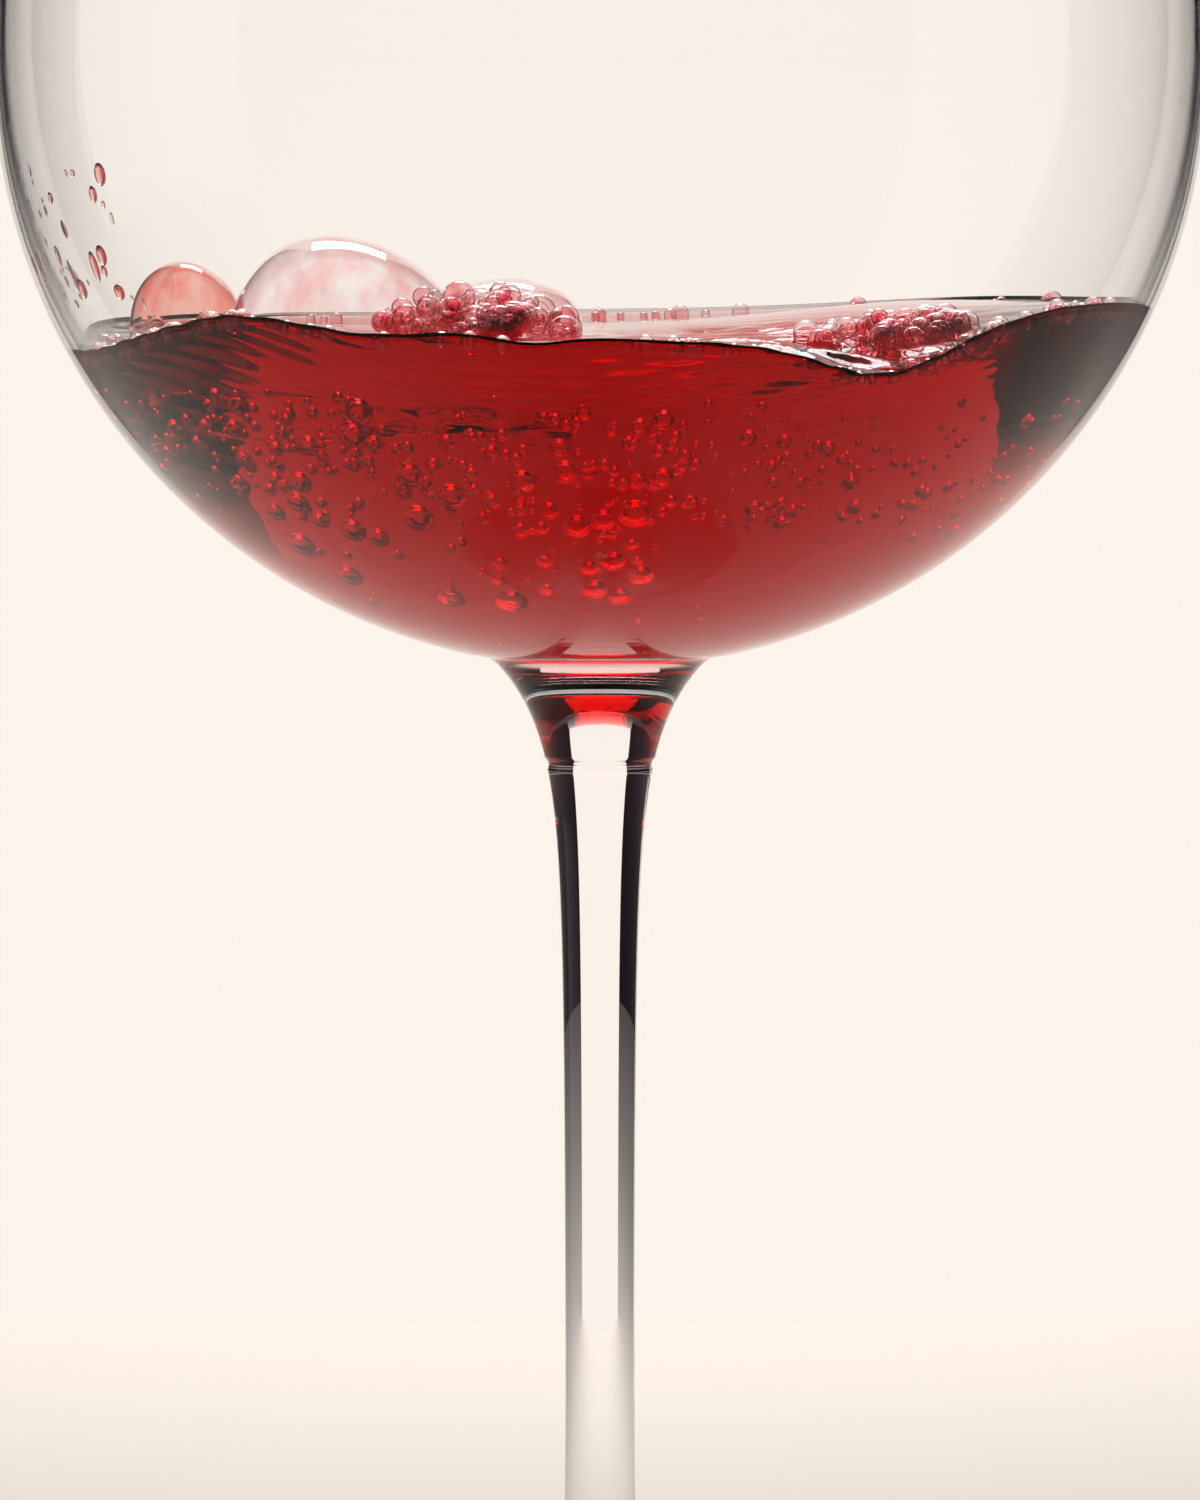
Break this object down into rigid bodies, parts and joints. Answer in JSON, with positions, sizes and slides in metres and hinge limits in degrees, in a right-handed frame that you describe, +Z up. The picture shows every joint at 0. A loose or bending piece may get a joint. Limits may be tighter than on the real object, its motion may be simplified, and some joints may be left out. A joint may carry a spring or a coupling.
{
  "type": "glass of red wine",
  "caption": "Stemmed balloon wine glass on a disc foot, holding red wine with a rocking surface, thin-walled bubbles and patches of froth.",
  "frame": {"origin": "middle of the foot's underside, on the plane that the glass stands on", "axes": "+Z up along the glass's axis; -Y is the side from which the deep trough in the wine is on the right and the large bubble on the left"},
  "size_m": [0.11, 0.11, 0.214],
  "materials": {
    "clear_glass": "clear, fire-polished",
    "red_wine": "clear deep red liquid",
    "bubble_film": "thin liquid film, faintly pink",
    "wine_froth": "small wet bubbles, pink-red"
  },
  "bodies": {
    "root": {"glass": "clear_glass", "wine": "red_wine", "bubble_large": "bubble_film", "bubble_side": "bubble_film", "bubble_left": "bubble_film", "froth_left": "wine_froth", "froth_right": "wine_froth"}
  },
  "joints": []
}
